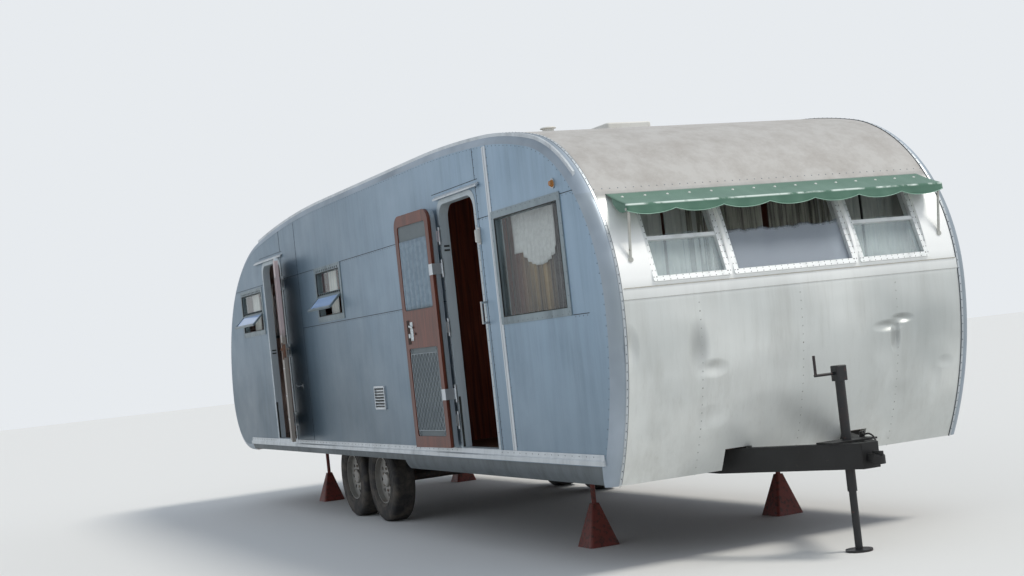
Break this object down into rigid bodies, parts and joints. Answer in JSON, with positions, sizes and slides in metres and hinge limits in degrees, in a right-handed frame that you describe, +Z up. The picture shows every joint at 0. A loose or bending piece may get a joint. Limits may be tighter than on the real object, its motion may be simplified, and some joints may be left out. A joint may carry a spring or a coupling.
{
  "type": "travel caravan",
  "caption": "Long rounded travel caravan with riveted skin, tandem axles, two open side doors, a drawbar with jack, and a small canopy over the front windows.",
  "frame": {"origin": "centre of the hitch ball, 0.5 m above the ground", "axes": "+X forward to the hitch, +Y to the left (road side), +Z up; the two doors are on the right side, at negative Y"},
  "size_m": [9.386, 2.6698, 2.742],
  "materials": {
    "skin": "weathered riveted sheet, dull with streaks and small dents",
    "roof_skin": "old warm grey roof coating, stained",
    "door_skin": "weathered sheet with rust stains",
    "trim": "brushed extrusions, slightly dull",
    "skirt_metal": "dull grey rolled sheet",
    "glass": "clear glass",
    "wood": "red-brown varnished wood",
    "mesh": "fine fly screen with a diamond grille",
    "lace": "white lace",
    "curtain_cloth": "thin white curtain cloth",
    "rod_metal": "thin steel rods",
    "floor": "floor boards on a sandwich base",
    "wood_panel": "deep maroon-brown panel",
    "frame_paint": "near-black paint on steel",
    "jack_paint": "worn black paint",
    "stand_paint": "rusty red-brown paint",
    "canvas": "green canvas, faded",
    "chrome": "old chrome",
    "amber_glass": "amber lens",
    "red_glass": "red lens",
    "white_glass": "milk-white glass",
    "roof_vent": "white paint, weathered",
    "lead_rubber": "black rubber",
    "tyre": "dusty black rubber",
    "rim": "grey painted steel, dusty"
  },
  "bodies": {
    "caravan": {"axles": "frame_paint", "canopy": "canvas", "canopy_frame": "trim", "chassis_frame": "frame_paint", "coupler": "frame_paint", "curtain_rods": "rod_metal", "curtains": "curtain_cloth", "door_frames": "trim", "edge_beads": "trim", "floor": "floor", "front_panel": "skin", "gutter": "trim", "hinge_plates": "trim", "jack_stands": "stand_paint", "leaf_springs": "frame_paint", "marker_lamps": "amber_glass", "partitions": "wood_panel", "porch_light": "white_glass", "rear_panel": "skin", "roof_fittings": "roof_vent", "roof_panel": "roof_skin", "side_trims": "trim", "skirts": "skirt_metal", "tail_lamps": "red_glass", "tongue_frame": "frame_paint", "tongue_jack": "jack_paint", "tongue_lead": "lead_rubber", "wall_door_side": "skin", "wall_fittings": "chrome", "wall_road_side": "skin", "wall_vent": "trim", "window_frames": "trim", "window_glass": "glass"},
    "front_door": {"front_door": "door_skin", "front_door_glass": "glass"},
    "screen_door": {"screen_frame": "wood", "screen_mesh": "mesh", "screen_curtain": "lace", "screen_hinges": "trim"},
    "rear_door": {"rear_door": "door_skin", "rear_door_glass": "glass", "rear_door_curtain": "lace"},
    "wheel_front_right": {"tyre_front_right": "tyre", "rim_front_right": "rim"},
    "wheel_front_left": {"tyre_front_left": "tyre", "rim_front_left": "rim"},
    "wheel_rear_right": {"tyre_rear_right": "tyre", "rim_rear_right": "rim"},
    "wheel_rear_left": {"tyre_rear_left": "tyre", "rim_rear_left": "rim"}
  },
  "joints": [
    {"name": "front_door_hinge", "type": "hinge", "parent": "caravan", "child": "front_door", "pos_m": [-2.875, -1.235, 0.175], "axis": [0, 0, 1], "range_deg": [0, 177]},
    {"name": "screen_door_hinge", "type": "hinge", "parent": "caravan", "child": "screen_door", "pos_m": [-2.875, -1.235, 0.175], "axis": [0, 0, 1], "range_deg": [0, 177]},
    {"name": "rear_door_hinge", "type": "hinge", "parent": "caravan", "child": "rear_door", "pos_m": [-6.955, -1.235, 0.175], "axis": [0, 0, -1], "range_deg": [-6, 166]},
    {"name": "wheel_front_right_spin", "type": "hinge", "parent": "caravan", "child": "wheel_front_right", "pos_m": [-5.22, -0.95, -0.162], "axis": [0, 1, 0], "continuous": true},
    {"name": "wheel_front_left_spin", "type": "hinge", "parent": "caravan", "child": "wheel_front_left", "pos_m": [-5.22, 0.95, -0.162], "axis": [0, 1, 0], "continuous": true},
    {"name": "wheel_rear_right_spin", "type": "hinge", "parent": "caravan", "child": "wheel_rear_right", "pos_m": [-5.98, -0.95, -0.162], "axis": [0, 1, 0], "continuous": true},
    {"name": "wheel_rear_left_spin", "type": "hinge", "parent": "caravan", "child": "wheel_rear_left", "pos_m": [-5.98, 0.95, -0.162], "axis": [0, 1, 0], "continuous": true}
  ],
  "couplings": [
    {"joint": "screen_door_hinge", "follows": "front_door_hinge", "ratio": 1}
  ]
}
